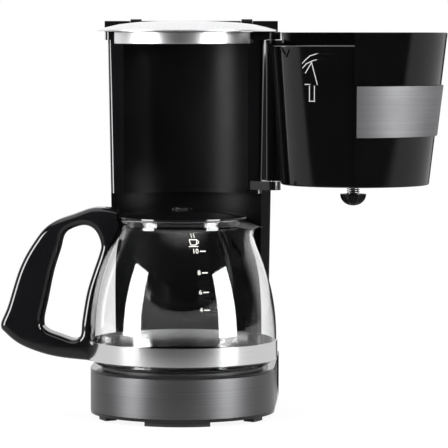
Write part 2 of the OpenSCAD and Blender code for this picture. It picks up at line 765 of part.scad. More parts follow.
/* Carafe */
foot_r = glass_r - 14.4;
function glass_side(t) = concat(
    bezier([[foot_r, t], [foot_r + 8, t], [glass_r - t, 4 + t], [glass_r - t, 14]], 8),
    bezier([[glass_r - t, 21], [glass_r - t, glass_h / 2], [glass_r - 9 - t, glass_h - 34],
        [neck_r - t, glass_h - 5.5]], 14),
    [[neck_r + 1 - t, glass_h - 2.5], [neck_r + 1.4 - t, glass_h]]);

module glass_body(t, rise = 0) {
    translate([0, 0, glass_low]) rotate_extrude()
        polygon(concat([[0, t]], glass_side(t), [[neck_r + 1.4 - t, glass_h + rise],
            [0, glass_h + rise]]));
}

spout_reach = neck_r + 14;
module spout(shrink, rise) {
    hull() {
        translate([neck_r - 13, 0, glass_top - 13 + shrink])
            cylinder(r = 14 - shrink, h = 13 - shrink + rise, $fn = 32);
        translate([spout_reach - 3, 0, glass_top - 6 + shrink])
            cylinder(r = 3 - shrink / 2, h = 4 - shrink + rise, $fn = 32);
    }
}

module carafe_glass() color([0.85, 0.9, 0.92, 0.35]) difference() {
    union() {
        glass_body(0);
        spout(0, 0);
    }
    glass_body(glass_t, 1);
    spout(glass_t, glass_t + 3);
}

clamp_low = glass_low + clamp_z;
clamp_r = glass_r + seat_gap + clamp_t;
module carafe_band() color("silver") difference() {
    disc(clamp_r, clamp_low, clamp_low + clamp_w);
    disc(glass_r + seat_gap, clamp_low - 1, clamp_low + clamp_w + 1);
}

// Side view of the handle: x outwards from the axis, y above the foot of the glass
grip = handle_reach;
handle_outside = [[46, glass_h + 3], [66, glass_h + 8.6], [grip - 60, glass_h + 3.6],
    [grip - 39, glass_h - 5], [grip - 26, glass_h - 20],
    [grip - 15, 76.6], [grip - 5.6, 47], [grip, 32.5], [grip - 4, 25.5], [grip - 17, 15.8],
    [grip - 40, 7.9], [grip - 66, 4.6], [66, 5], [60, 20], [60, 60], [48, 96]];
finger_gap = [[grip - 51, glass_h - 12], [78.8, glass_h - 5.5], [69, glass_h - 9],
    [64, glass_h - 20], [65.5, glass_h - 29], [70, 75],
    [75.2, 58], [79, 36], [80.4, 24], [86, 20.5], [grip - 46.5, 24], [grip - 35.7, 28.5],
    [grip - 33, 35], [grip - 36.4, 52], [grip - 41, 74], [grip - 46.5, glass_h - 25.4]];

module handle_profile() difference() {
    polygon(loop_curve(handle_outside, 5));
    polygon(loop_curve(finger_gap, 4));
}

axle_x = neck_r + 7;
axle_z = glass_top + 4.6;
lug_w = 9;
module carafe_handle() color([0.03, 0.03, 0.03]) difference() {
    for (layer = [[handle_w / 2, 3.4], [handle_w / 2 - 1.5, 1.6], [handle_w / 2 - 4, 0]])
        translate([0, layer[0], glass_low]) rotate([90, 0, 0]) mirror([1, 0, 0])
            linear_extrude(2 * layer[0]) offset(delta = -layer[1]) handle_profile();
    translate([0, 0, glass_low]) rotate_extrude() polygon(concat([[0, -1]],
        [for (p = glass_side(-seat_gap)) p], [[neck_r + 2.4, glass_h + 20], [0, glass_h + 20]]));
    disc(clamp_r + seat_gap, clamp_low - seat_gap, clamp_low + clamp_w + seat_gap);
    block([-axle_x - 3.6, -lug_w / 2 - move_gap, glass_top - 0.5],
        [-neck_r + 10, lug_w / 2 + move_gap, glass_top + 20]);
    translate([-axle_x, 11, axle_z]) rotate([90, 0, 0])
        cylinder(r = lid_axle_r + seat_gap / 2, h = 22);
}

module carafe_pin() color("silver") translate([-axle_x, 10, axle_z]) rotate([90, 0, 0])
    cylinder(r = lid_axle_r, h = 20);

// Carafe lid with a domed knob that the drip valve sits over
lid_edge_r = neck_r + 1.2;
module carafe_lid() color([0.03, 0.03, 0.03]) difference() {
    union() {
        translate([0, 0, glass_top]) rotate_extrude() polygon(concat(
            [[0, 4.4], [9, 4.4], [30, 2.6], [neck_r - 7, 0.8], [neck_r - 7, -5],
                [neck_r - 5.4, -5], [neck_r - 5.2, 0.3], [lid_edge_r, 0.3], [lid_edge_r, 1.6],
                [neck_r - 4, 2.8], [34, 4.6], [20, 5.9], [8.8, 6.6]],
            [for (a = [15 : 15 : 90]) [8.8 * cos(a), 6.6 + 3.8 * sin(a)]]));
        block([-axle_x, -lug_w / 2, glass_top + 1.2], [-neck_r + 6, lug_w / 2, glass_top + 3.8]);
        translate([-axle_x, lug_w / 2, axle_z]) rotate([90, 0, 0]) cylinder(r = 3, h = lug_w);
    }
    disc(1.8, glass_top, knob_top + 1);
    translate([-axle_x, lug_w, axle_z]) rotate([90, 0, 0])
        cylinder(r = lid_axle_r + run_gap, h = 2 * lug_w);
}

base_housing();
base_band();
bottom_plate();
rubber_feet();
base_screws();
warming_plate();
heater_tube();
thermostat();
terminal_block();
feed_hose();
cord_gland();
switch_frame();
power_rocker();
column_housing();
level_window();
riser_tube();
top_frame();
spray_ring();
spray_plate();
water_arm();
basket_pin();
lid_pins();
lid_cover();
lid_frame();
basket_holder();
basket_shell();
basket_band();
filter_insert();
drip_valve();
valve_seal();
valve_spring();
carafe_glass();
carafe_band();
carafe_handle();
carafe_pin();
carafe_lid();
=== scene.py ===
import json
import math

import bmesh
import bpy
from mathutils import Matrix, Vector

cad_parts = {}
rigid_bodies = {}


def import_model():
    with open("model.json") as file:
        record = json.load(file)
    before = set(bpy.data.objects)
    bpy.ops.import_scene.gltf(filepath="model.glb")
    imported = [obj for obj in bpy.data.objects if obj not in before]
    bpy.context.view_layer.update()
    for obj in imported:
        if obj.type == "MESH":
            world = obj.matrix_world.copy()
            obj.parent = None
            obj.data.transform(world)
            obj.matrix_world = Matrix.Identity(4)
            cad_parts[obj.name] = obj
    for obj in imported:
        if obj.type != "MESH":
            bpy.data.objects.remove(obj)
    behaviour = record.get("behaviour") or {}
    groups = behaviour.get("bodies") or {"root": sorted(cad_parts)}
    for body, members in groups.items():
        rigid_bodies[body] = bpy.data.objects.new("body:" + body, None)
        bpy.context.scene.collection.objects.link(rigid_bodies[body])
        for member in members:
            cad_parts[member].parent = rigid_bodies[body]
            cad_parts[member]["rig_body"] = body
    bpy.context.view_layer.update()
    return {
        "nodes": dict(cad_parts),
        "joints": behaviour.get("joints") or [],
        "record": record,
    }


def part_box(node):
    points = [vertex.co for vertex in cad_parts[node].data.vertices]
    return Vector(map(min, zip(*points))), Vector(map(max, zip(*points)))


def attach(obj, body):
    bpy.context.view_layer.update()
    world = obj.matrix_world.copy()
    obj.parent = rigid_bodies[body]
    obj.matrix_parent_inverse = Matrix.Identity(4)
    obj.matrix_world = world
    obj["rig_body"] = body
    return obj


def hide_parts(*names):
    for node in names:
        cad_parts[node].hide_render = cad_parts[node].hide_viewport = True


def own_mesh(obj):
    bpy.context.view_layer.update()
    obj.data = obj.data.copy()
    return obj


mm = 0.001
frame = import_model()
nodes = frame["nodes"]
scene = bpy.context.scene
print("frame loaded:", len(nodes), "nodes")

plasticLook = {"gloss": (0.003, 0.003, 0.0034), "satin": (0.003, 0.003, 0.0033), "specular": 0.4,
               "etched": 0.05, "flowMarks": 22, "grain": 1400, "ripple": 160,
               "grainDeep": 0.00012, "rippleDeep": 0.00004, "rippleStrength": 0.06,
               "darker": 0.85, "lighter": 1.2}
steelLook = {"base": (0.1, 0.1, 0.103), "basket": (0.135, 0.135, 0.139), "lid": (0.80, 0.80, 0.81),
             "polished": (0.82, 0.82, 0.83), "pin": (0.6, 0.6, 0.61), "cloud": 14, "lineDeep": 0.00005,
             "smoothest": 0.85, "roughest": 1.15}
glassLook = {"jug": (0.998, 1.0, 0.999), "window": (0.75, 0.79, 0.81), "smear": 30}
noiseBand = (0.3, 0.7)  # the part of a noise that its colours and values are spread over


def maths(tree, kind, first, second):
    step = tree.nodes.new("ShaderNodeMath")
    step.operation = kind
    for socket, value in zip(step.inputs, (first, second)):
        if isinstance(value, (int, float)):
            socket.default_value = value
        else:
            tree.links.new(value, socket)
    return step.outputs["Value"]


def startMaterial(name):
    made = bpy.data.materials.new(name)
    made.use_nodes = True
    tree = made.node_tree
    return made, tree, tree.nodes["Principled BSDF"]


def objectPoint(tree, stretch):
    # object coordinates in metres, stretched along each axis
    where = tree.nodes.new("ShaderNodeTexCoord")
    mapping = tree.nodes.new("ShaderNodeMapping")
    mapping.inputs["Scale"].default_value = stretch
    tree.links.new(where.outputs["Object"], mapping.inputs["Vector"])
    return mapping.outputs["Vector"]


def noiseOf(tree, point, scale, detail=3.0):
    noise = tree.nodes.new("ShaderNodeTexNoise")
    noise.inputs["Scale"].default_value = scale
    noise.inputs["Detail"].default_value = detail
    tree.links.new(point, noise.inputs["Vector"])
    return noise.outputs["Fac"]


def spread(tree, value, low, high):
    # turns a 0 to 1 pattern into a range of values
    mapped = tree.nodes.new("ShaderNodeMapRange")
    for socket, number in zip(("From Min", "From Max", "To Min", "To Max"), (*noiseBand, low, high)):
        mapped.inputs[socket].default_value = number
    tree.links.new(value, mapped.inputs["Value"])
    return mapped.outputs["Result"]


def tint(tree, value, dark, light):
    ramp = tree.nodes.new("ShaderNodeValToRGB")
    for stop, place, colour in zip(ramp.color_ramp.elements, noiseBand, (dark, light)):
        stop.position = place
        stop.color = (*colour, 1)
    tree.links.new(value, ramp.inputs["Fac"])
    return ramp.outputs["Color"]


def bumpFrom(tree, shader, value, height, strength):
    bump = tree.nodes.new("ShaderNodeBump")
    bump.inputs["Distance"].default_value = height
    bump.inputs["Strength"].default_value = strength
    tree.links.new(value, bump.inputs["Height"])
    tree.links.new(bump.outputs["Normal"], shader.inputs["Normal"])


def shade(colour, factor):
    return tuple(min(c * factor, 1.0) for c in colour)


def mouldedPlastic(name, colour, smooth, rough, grain=0.0, specular=plasticLook["specular"]):
    # faint flow marks in the gloss, and a fine grain where the mould is etched
    made, tree, shader = startMaterial(name)
    point = objectPoint(tree, (1, 1, 1))
    broad = noiseOf(tree, point, plasticLook["flowMarks"], 4)
    dark, light = shade(colour, plasticLook["darker"]), shade(colour, plasticLook["lighter"])
    tree.links.new(tint(tree, broad, dark, light), shader.inputs["Base Color"])
    fine = noiseOf(tree, point, plasticLook["grain"] if grain else plasticLook["ripple"], 2)
    tree.links.new(spread(tree, broad, smooth, rough), shader.inputs["Roughness"])
    deep = plasticLook["grainDeep"] if grain else plasticLook["rippleDeep"]
    bumpFrom(tree, shader, fine, deep, grain or plasticLook["rippleStrength"])
    shader.inputs["Specular IOR Level"].default_value = specular
    return made


def brushedSteel(name, colour, rough, along=(9, 9, 1500), depth=0.05, contrast=0.1):
    # the hair lines run along the axes with a small stretch
    made, tree, shader = startMaterial(name)
    lines = noiseOf(tree, objectPoint(tree, along), 1.0, 6)
    cloud = noiseOf(tree, objectPoint(tree, (1, 1, 1)), steelLook["cloud"], 3)
    tree.links.new(tint(tree, lines, shade(colour, 1 - contrast), shade(colour, 1 + contrast)),
                   shader.inputs["Base Color"])
    low, high = rough * steelLook["smoothest"], rough * steelLook["roughest"]
    tree.links.new(spread(tree, cloud, low, high), shader.inputs["Roughness"])
    bumpFrom(tree, shader, lines, steelLook["lineDeep"], depth)
    shader.inputs["Metallic"].default_value = 1.0
    return made


def clearBody(name, colour, rough, index):
    made, tree, shader = startMaterial(name)
    smear = noiseOf(tree, objectPoint(tree, (1, 1, 1)), glassLook["smear"], 4)
    tree.links.new(spread(tree, smear, 0.0, rough), shader.inputs["Roughness"])
    shader.inputs["Base Color"].default_value = (*colour, 1)
    shader.inputs["Transmission Weight"].default_value = 1.0
    shader.inputs["IOR"].default_value = index
    return made


looks = {
    "black_gloss": mouldedPlastic("gloss_black", plasticLook["gloss"], 0.05, 0.10),
    "black_satin": mouldedPlastic("satin_black", plasticLook["satin"], 0.3, 0.4, 0.3, plasticLook["etched"]),
    "rubber_black": mouldedPlastic("foot_rubber", (0.012, 0.012, 0.012), 0.6, 0.75, 0.4, 0.3),
    "steel_dark": brushedSteel("dark_steel", steelLook["base"], 0.36),
    "steel_band": brushedSteel("band_steel", steelLook["basket"], 0.6, depth=0.08),
    "steel_lid": brushedSteel("lid_steel", steelLook["lid"], 0.34, (500, 6, 6), depth=0.015, contrast=0.03),
    "steel_clamp": brushedSteel("clamp_steel", steelLook["polished"], 0.14, depth=0.01, contrast=0.02),
    "pin_steel": brushedSteel("pin_steel", steelLook["pin"], 0.25),
    "plate_grey": mouldedPlastic("plate_enamel", (0.03, 0.03, 0.032), 0.35, 0.5, 0.25),
    "heater_aluminium": brushedSteel("cast_aluminium", (0.6, 0.6, 0.61), 0.5, (300, 300, 300), 0.2),
    "ceramic_white": mouldedPlastic("ceramic", (0.62, 0.6, 0.56), 0.45, 0.6, 0.2),
    "silicone": mouldedPlastic("silicone", (0.55, 0.54, 0.5), 0.4, 0.5),
    "clear_glass": clearBody("jug_glass", glassLook["jug"], 0.012, 1.47),
    "clear_plastic": clearBody("window_plastic", glassLook["window"], 0.12, 1.45),
    "switch_red": mouldedPlastic("switch_red", (0.19, 0.006, 0.006), 0.12, 0.2),
}
slotOf = {part["node"]: part["material_slot"] for part in frame["record"]["subparts"]}
for name, node in nodes.items():
    node.data.materials.clear()
    node.data.materials.append(looks[slotOf[name]])
print("materials on", len(nodes), "nodes")


def bezierPoints(ends, count):
    made = []
    for i in range(count + 1):
        t = i / count
        u = 1 - t
        weights = (u ** 3, 3 * u * u * t, 3 * u * t * t, t ** 3)
        made.append(tuple(sum(w * p[k] for w, p in zip(weights, ends)) for k in range(2)))
    return made


def roundLoop(points, count):
    # a smooth closed curve through the points
    made = []
    for i in range(len(points)):
        a, b, c, d = (points[(i + k) % len(points)] for k in (-1, 0, 1, 2))
        for j in range(count):
            t = j / count
            made.append(tuple(0.5 * (2 * b[k] + (c[k] - a[k]) * t
                                     + (2 * a[k] - 5 * b[k] + 4 * c[k] - d[k]) * t * t
                                     + (3 * b[k] - a[k] - 3 * c[k] + d[k]) * t ** 3) for k in range(2)))
    return made


shading = {"smooth": math.radians(35), "weight": 80}


def objectFrom(name, mesh, look, body, replaced=(), smooth=shading["smooth"]):
    # puts a finished mesh, in metres in the shared frame, on its body
    made = bpy.data.objects.new(name, mesh)
    scene.collection.objects.link(made)
    mesh.materials.clear()
    mesh.materials.append(looks[look])
    mesh.polygons.foreach_set("use_smooth", [True] * len(mesh.polygons))
    bpy.context.view_layer.objects.active = made
    made.select_set(True)
    bpy.ops.object.shade_smooth_by_angle(angle=smooth, keep_sharp_edges=False)
    flat = made.modifiers.new("flatness", "WEIGHTED_NORMAL")
    flat.keep_sharp = True
    flat.weight = shading["weight"]
    bpy.ops.object.modifier_apply(modifier="flatness")
    made.select_set(False)
    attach(made, body)
    if replaced:
        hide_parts(*replaced)
    return made


def cleanMesh(name, bm, near=1e-7):
    bmesh.ops.remove_doubles(bm, verts=bm.verts, dist=near)
    bmesh.ops.recalc_face_normals(bm, faces=bm.faces)
    mesh = bpy.data.meshes.new(name)
    bm.to_mesh(mesh)
    bm.free()
    return mesh


def spinMesh(name, profile, steps=128, warp=None, start=0.0, sweep=2 * math.pi):
    # turns a closed profile of (radius, height) in mm about the brew axis
    bm = bmesh.new()
    full = abs(sweep - 2 * math.pi) < 1e-6
    rings = []
    for i in range(steps if full else steps + 1):
        angle = start + sweep * i / steps
        ring = []
        for r, z in profile:
            wr, wz = warp(angle, r, z) if warp else (r, z)
            ring.append(bm.verts.new((wr * math.cos(angle) * mm, wr * math.sin(angle) * mm, wz * mm)))
        rings.append(ring)
    for i in range(steps):
        first, second = rings[i], rings[(i + 1) % len(rings)]
        for j in range(len(profile)):
            k = (j + 1) % len(profile)
            bm.faces.new((first[j], second[j], second[k], first[k]))
    if not full:
        bm.faces.new(rings[0])
        bm.faces.new(reversed(rings[-1]))
    return cleanMesh(name, bm, 2e-7)


def baked(made):
    # the object's mesh with its modifiers applied
    graph = bpy.context.evaluated_depsgraph_get()
    mesh = bpy.data.meshes.new_from_object(made.evaluated_get(graph), depsgraph=graph)
    bpy.data.objects.remove(made)
    return mesh


def looseObject(name, mesh):
    made = bpy.data.objects.new(name, mesh)
    scene.collection.objects.link(made)
    return made


# softened copies of the moulded nodes
edges = {"column_housing": 0.9, "base_housing": 0.7, "top_frame": 0.6, "rubber_feet": 0.5,
         "switch_frame": 0.5, "power_rocker": 0.4, "warming_plate": 0.3, "cord_gland": 0.4,
         "carafe_lid": 1.0, "bottom_plate": 0.4, "base_band": 0.2, "lid_cover": 0.25,
         "lid_frame": 0.4, "spray_ring": 0.3, "filter_insert": 0.25}
soft = {"flat": 0.6, "sharp": 38, "segments": 3}  # degrees that count as flat, and as an edge
recess = {"reach": 78, "facing": 0.7}


def softEdges(node, width):
    bm = bmesh.new()
    bm.from_mesh(nodes[node].data)
    bmesh.ops.remove_doubles(bm, verts=bm.verts, dist=1e-6)
    bmesh.ops.dissolve_limit(bm, angle_limit=math.radians(soft["flat"]), verts=bm.verts, edges=bm.edges)
    mesh = bpy.data.meshes.new(node + "_soft")
    bm.to_mesh(mesh)
    bm.free()
    made = looseObject(node + "_soft", mesh)
    bevel = made.modifiers.new("edge", "BEVEL")
    bevel.width = width * mm
    bevel.segments = soft["segments"]
    bevel.limit_method = "ANGLE"
    bevel.angle_limit = math.radians(soft["sharp"])
    bevel.harden_normals = False
    bevel.use_clamp_overlap = True
    return baked(made)


def etchRecess(mesh):
    # the walls of the recess and the bay have an etched, dull surface
    mesh.materials.append(looks["black_satin"])
    for face in mesh.polygons:
        middle, out = face.center, face.normal
        away = math.hypot(middle.x, middle.y)
        inwards = -(out.x * middle.x + out.y * middle.y)
        if away < recess["reach"] * mm and inwards > recess["facing"] * away:
            face.material_index = 1


def buildMouldings():
    for node, width in edges.items():
        body = nodes[node]["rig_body"]
        made = objectFrom(node + "_shell", softEdges(node, width), slotOf[node], body, (node,))
        if node == "column_housing":
            etchRecess(made.data)


# the glass jug, turned about the brew axis
glassLow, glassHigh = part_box("carafe_glass")
jug = {"low": glassLow.z / mm, "high": glassHigh.z / mm, "belly": glassHigh.y / mm, "wall": 2.0, "foot": 60.0,
       "neck": 50.2, "flare": 1.4, "lipReach": 12.6, "lipDrop": 7.5, "lipTurn": 0.34, "lipTall": 26.0,
       "pinch": 2.2, "pinchTurn": 0.52, "pinchWide": 0.2, "still": 20, "flatFoot": 30, "pole": 0.01,
       "footOut": 8, "footUp": 4, "footTop": 14, "bellyLow": 21, "shoulderIn": 9, "shoulderDown": 34,
       "neckDown": 5.5, "lipCurve": 2.2, "dropCurve": 1.6, "under": 0.6, "over": 0.4}
jug["tall"] = jug["high"] - jug["low"]


def jugSide(inset):
    # half of the jug's section, from the foot up to the neck
    belly, tall = jug["belly"] - inset, jug["tall"]
    foot = bezierPoints(((jug["foot"], inset), (jug["foot"] + jug["footOut"], inset),
                         (belly, jug["footUp"] + inset), (belly, jug["footTop"])), 12)
    side = bezierPoints(((belly, jug["bellyLow"]), (belly, tall / 2),
                         (belly - jug["shoulderIn"], tall - jug["shoulderDown"]),
                         (jug["neck"] - inset, tall - jug["neckDown"])), 30)
    return foot + side


def jugRadius(height):
    # outer radius at a height above the foot of the glass
    side = jugSide(0)
    for (r0, z0), (r1, z1) in zip(side, side[1:]):
        if z0 <= height <= z1 and z1 > z0:
            return r0 + (r1 - r0) * (height - z0) / (z1 - z0)
    return jug["neck"]


def spoutWarp(angle, r, z):
    # pulls the rim out and down into a spout, and pinches it on both sides
    turn = (angle + math.pi) % (2 * math.pi) - math.pi
    rise = min(max((z - (jug["high"] - jug["lipTall"])) / jug["lipTall"], 0), 1)
    pull = math.exp(-(turn / jug["lipTurn"]) ** 2) * rise ** jug["lipCurve"]
    pinch = -jug["pinch"] * math.exp(-((abs(turn) - jug["pinchTurn"]) / jug["pinchWide"]) ** 2) * rise ** 2
    moved = r > jug["still"]
    drop = jug["lipDrop"] * pull ** jug["dropCurve"]
    return r + (jug["lipReach"] * pull + pinch) * moved, z - drop * moved


def buildJug():
    wall, tall, neck = jug["wall"], jug["tall"], jug["neck"]
    rim = [(neck + 1.1, tall - 2.4), (neck + jug["flare"], tall - 1.2), (neck + 1.0, tall - 0.25),
           (neck - 0.2, tall), (neck - wall + 0.2, tall - 0.5), (neck - wall, tall - 2.5)]
    pole, flat = jug["pole"], jug["flatFoot"]
    under, over = jug["under"], wall + jug["over"]
    outside = [(pole, under), (flat, under)] + jugSide(0)
    inside = list(reversed(jugSide(wall))) + [(flat, over), (pole, over)]
    profile = [(r, z + jug["low"]) for r, z in outside + rim + inside]
    objectFrom("jug_glass", spinMesh("jug_glass", profile, 160, spoutWarp), "clear_glass", "carafe",
               ("carafe_glass",), math.radians(60))


# measure marks on the jug
marks = {"turn": 17.0, "cups": ((10, 94.8), (8, 78.6), (6, 63.9), (4, 50.4)), "tick": 4.6, "line": 0.75,
         "digit": 5.0, "lift": 0.18, "signUp": 4.8, "ink": 0.12, "aside": -1.0}
# a cup with its handle, saucer and steam, each as points and a line width
cupSign = ((((-7.5, 4), (-6.6, 0), (-2.4, 0), (-1.5, 4), (-7.5, 4)), 0.55),
           (((-1.6, 3.4), (-0.2, 2.6), (-0.6, 1.2), (-2.2, 1.0)), 0.5),
           (((-8.4, -1.1), (-0.8, -1.1)), 0.5),
           (((-5.6, 5.2), (-5.1, 6.4), (-5.9, 7.6), (-5.4, 8.8)), 0.4),
           (((-3.6, 5.2), (-3.1, 6.4), (-3.9, 7.6), (-3.4, 8.8)), 0.4))


def ontoJug(flat):
    # wraps a flat mesh drawn in mm, x along and y up, onto the front of the glass
    for vert in flat.vertices:
        x, y = vert.co.x, vert.co.y
        r = jugRadius(y) + marks["lift"]
        angle = math.radians(marks["turn"] - 90) + x / r
        vert.co = (r * math.cos(angle) * mm, r * math.sin(angle) * mm, (y + jug["low"]) * mm)


def stroke(bm, points, width):
    # a flat line of a given width, in mm
    for (x0, y0), (x1, y1) in zip(points, points[1:]):
        long = math.hypot(x1 - x0, y1 - y0)
        nx, ny = -(y1 - y0) / long * width / 2, (x1 - x0) / long * width / 2
        corners = ((x0 + nx, y0 + ny), (x0 - nx, y0 - ny), (x1 - nx, y1 - ny), (x1 + nx, y1 + ny))
        bm.faces.new([bm.verts.new((x, y, 0)) for x, y in corners])


def numeral(bm, word, x, y, size):
    curve = bpy.data.curves.new("numeral", "FONT")
    curve.body = word
    curve.size = size
    curve.align_x = "RIGHT"
    curve.align_y = "CENTER"
    mesh = baked(looseObject("numeral", curve))
    mesh.transform(Matrix.Translation((x, y, 0)))
    bm.from_mesh(mesh)
    bpy.data.meshes.remove(mesh)


def buildMarks():
    bm = bmesh.new()
    for cups, height in marks["cups"]:
        stroke(bm, [(0, height), (marks["tick"], height)], marks["line"])
        numeral(bm, str(cups), marks["aside"], height, marks["digit"])
    top = marks["cups"][0][1] + marks["signUp"]
    for points, width in cupSign:
        stroke(bm, [(x, top + y) for x, y in points], width)
    mesh = bpy.data.meshes.new("cup_marks")
    bmesh.ops.subdivide_edges(bm, edges=bm.edges, cuts=1)
    bm.to_mesh(mesh)
    bm.free()
    ontoJug(mesh)
    made = looseObject("cup_marks", mesh)
    thick = made.modifiers.new("ink", "SOLIDIFY")
    thick.thickness = marks["ink"] * mm
    thick.offset = 1
    objectFrom("cup_marks", baked(made), "silicone", "carafe")


# the handle is one moulding, cut to sit on the glass and the clamp band
handle = {"reach": 143.8, "wide": 26.0, "round": 5.2, "gap": 0.15, "lug": 9.8, "axleX": 57.2, "rimRoom": 2.6,
          "cutLow": -5, "cutTop": 190, "lugOut": 3.8, "lugIn": 10, "lugUnder": 0.5, "lugTall": 20}


def handleOutlines():
    # side view: x outwards from the axis, y above the foot of the glass
    g = handle["reach"]
    outside = [(46, 120), (66, 125.6), (g - 60, 120.6), (g - 39, 112), (g - 26, 97), (g - 15, 76.6),
               (g - 5.6, 47), (g, 32.5), (g - 4, 25.5), (g - 17, 15.8), (g - 40, 7.9), (g - 66, 4.6),
               (66, 5), (60, 20), (60, 60), (48, 96)]
    opening = [(g - 51, 105), (78.8, 111.5), (69, 108), (64, 97), (65.5, 88), (70, 75), (75.2, 58), (79, 36),
               (80.4, 24), (86, 20.5), (g - 46.5, 24), (g - 35.7, 28.5), (g - 33, 35), (g - 36.4, 52),
               (g - 41, 74), (g - 46.5, 91.6)]
    return roundLoop(outside, 8), roundLoop(opening, 6)


def boxMesh(name, low, high):
    bm = bmesh.new()
    bmesh.ops.create_cube(bm, size=1)
    middle = (Vector(low) + Vector(high)) / 2
    bmesh.ops.scale(bm, vec=Vector(high) - Vector(low), verts=bm.verts)
    bmesh.ops.translate(bm, vec=middle, verts=bm.verts)
    bmesh.ops.scale(bm, vec=(mm, mm, mm), verts=bm.verts)
    return cleanMesh(name, bm)


def cutBy(made, cutters, kind="DIFFERENCE"):
    for cutter in cutters:
        step = made.modifiers.new("cut", "BOOLEAN")
        step.operation = kind
        step.solver = "EXACT"
        step.object = cutter
    mesh = baked(made)
    for cutter in cutters:
        bpy.data.objects.remove(cutter)
    return mesh


def buildHandle():
    curve = bpy.data.curves.new("handle", "CURVE")
    curve.dimensions = "2D"
    curve.fill_mode = "BOTH"
    curve.extrude = (handle["wide"] / 2 - handle["round"]) * mm
    curve.bevel_depth = handle["round"] * mm
    curve.bevel_resolution = 6
    curve.offset = -handle["round"] * mm
    for outline in handleOutlines():
        line = curve.splines.new("POLY")
        line.points.add(len(outline) - 1)
        line.use_cyclic_u = True
        for point, (x, y) in zip(line.points, outline):
            point.co = (x * mm, y * mm, 0, 1)
    mesh = baked(looseObject("handle", curve))
    # the drawing plane stands up, and its x points to the left of the jug
    mesh.transform(Matrix(((-1, 0, 0, 0), (0, 0, 1, 0), (0, 1, 0, jug["low"] * mm), (0, 0, 0, 1))))
    bm = bmesh.new()
    bm.from_mesh(mesh)
    bpy.data.meshes.remove(mesh)
    made = looseObject("jug_handle", cleanMesh("jug_handle", bm, 1e-6))
    gap = handle["gap"]
    pole, top, rim = jug["pole"], handle["cutTop"], jug["neck"] + handle["rimRoom"]
    side = [(r + gap, z + jug["low"]) for r, z in jugSide(0)]
    shape = [(pole, handle["cutLow"])] + side + [(rim, jug["high"]), (rim, top), (pole, top)]
    bandLow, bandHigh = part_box("carafe_band")
    low, high, wide = bandLow.z / mm - gap, bandHigh.z / mm + gap, bandHigh.y / mm + gap
    ring = [(pole, low), (wide, low), (wide, high), (pole, high)]
    lug = handle["lug"] / 2
    lugLow = (-handle["axleX"] - handle["lugOut"], -lug, jug["high"] - handle["lugUnder"])
    lugHigh = (-jug["neck"] + handle["lugIn"], lug, jug["high"] + handle["lugTall"])
    cutters = [looseObject("glass_room", spinMesh("glass_room", shape, 96)),
               looseObject("band_room", spinMesh("band_room", ring, 96)),
               looseObject("lug_room", boxMesh("lug_room", lugLow, lugHigh))]
    objectFrom("jug_handle", cutBy(made, cutters), "black_gloss", "carafe", ("carafe_handle",))


clip = {"starts": (-3.4, 1.8), "thick": 1.6, "inwards": 4.2, "outwards": 0.9, "short": 1.2, "edge": 0.35}


def buildClip():
    # folded ends of the clamp band, drawn together under the handle
    low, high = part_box("carafe_band")
    edge = -high.y / mm
    bm = bmesh.new()
    for y in clip["starts"]:
        bm.from_mesh(boxMesh("ear", (edge - clip["inwards"], y, low.z / mm + clip["short"]),
                             (edge + clip["outwards"], y + clip["thick"], high.z / mm - clip["short"])))
    bmesh.ops.bevel(bm, geom=bm.edges[:], offset=clip["edge"] * mm, segments=2, affect="EDGES")
    mesh = bpy.data.meshes.new("clamp_ears")
    bm.to_mesh(mesh)
    bm.free()
    objectFrom("clamp_ears", mesh, "steel_clamp", "carafe")


# filter basket, drawn closed on the brew axis and swung open
swing = next(j for j in frame["joints"] if j["name"] == "basket_swing")
pivot = Vector((swing["pos_m"][0], swing["pos_m"][1], 0))
swungOpen = (Matrix.Translation(pivot) @ Matrix.Rotation(math.radians(-swing["range_deg"][0]), 4, "Z")
             @ Matrix.Translation(-pivot))
shellLow, shellHigh = (corner.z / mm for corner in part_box("basket_shell"))
basket = {"topR": 73.5, "lowR": 59.4, "wall": 2.2, "half": 113, "holderTopR": 64.3, "holderLowR": 56.8,
          "rim": 293.8, "ledge": 2.4, "pinR": 2.06, "barrelR": 5.5, "leaf": 5.0, "leafTop": 298.0,
          "farWall": (-6, 9), "bandUp": 38.5, "bandTall": 39.5, "bandOut": 1.8, "edge": 0.7,
          "flankTurn": 1.8, "bandShort": 1.5, "ledgeDrop": 8, "valveHole": 3.46, "boss": 9, "leafGap": 3.75,
          "lipIn": 0.35, "lipDown": 0.3, "flankIn": 0.5, "touch": 0.05, "bandEdge": 0.45}


def shellR(z):
    return basket["lowR"] + (basket["topR"] - basket["lowR"]) * (z - shellLow) / (shellHigh - shellLow)


def holderR(z):
    return basket["holderLowR"] + (basket["holderTopR"] - basket["holderLowR"]) * (z - shellLow) / (
        basket["rim"] - shellLow)


def swungMesh(mesh):
    mesh.transform(swungOpen)
    return mesh


def roundedSkin(inner, outer, low, high, edge):
    # section of a wall between two radius functions with round lips
    def lip(z, up):
        a, b, x = inner(z), outer(z), edge * basket["lipIn"]
        y = z - up * edge * basket["lipDown"]
        return [(a, z - up * edge), (a + x, y), (a + edge, z), (b - edge, z), (b - x, y), (b, z - up * edge)]
    return lip(high, 1) + list(reversed(lip(low, -1)))


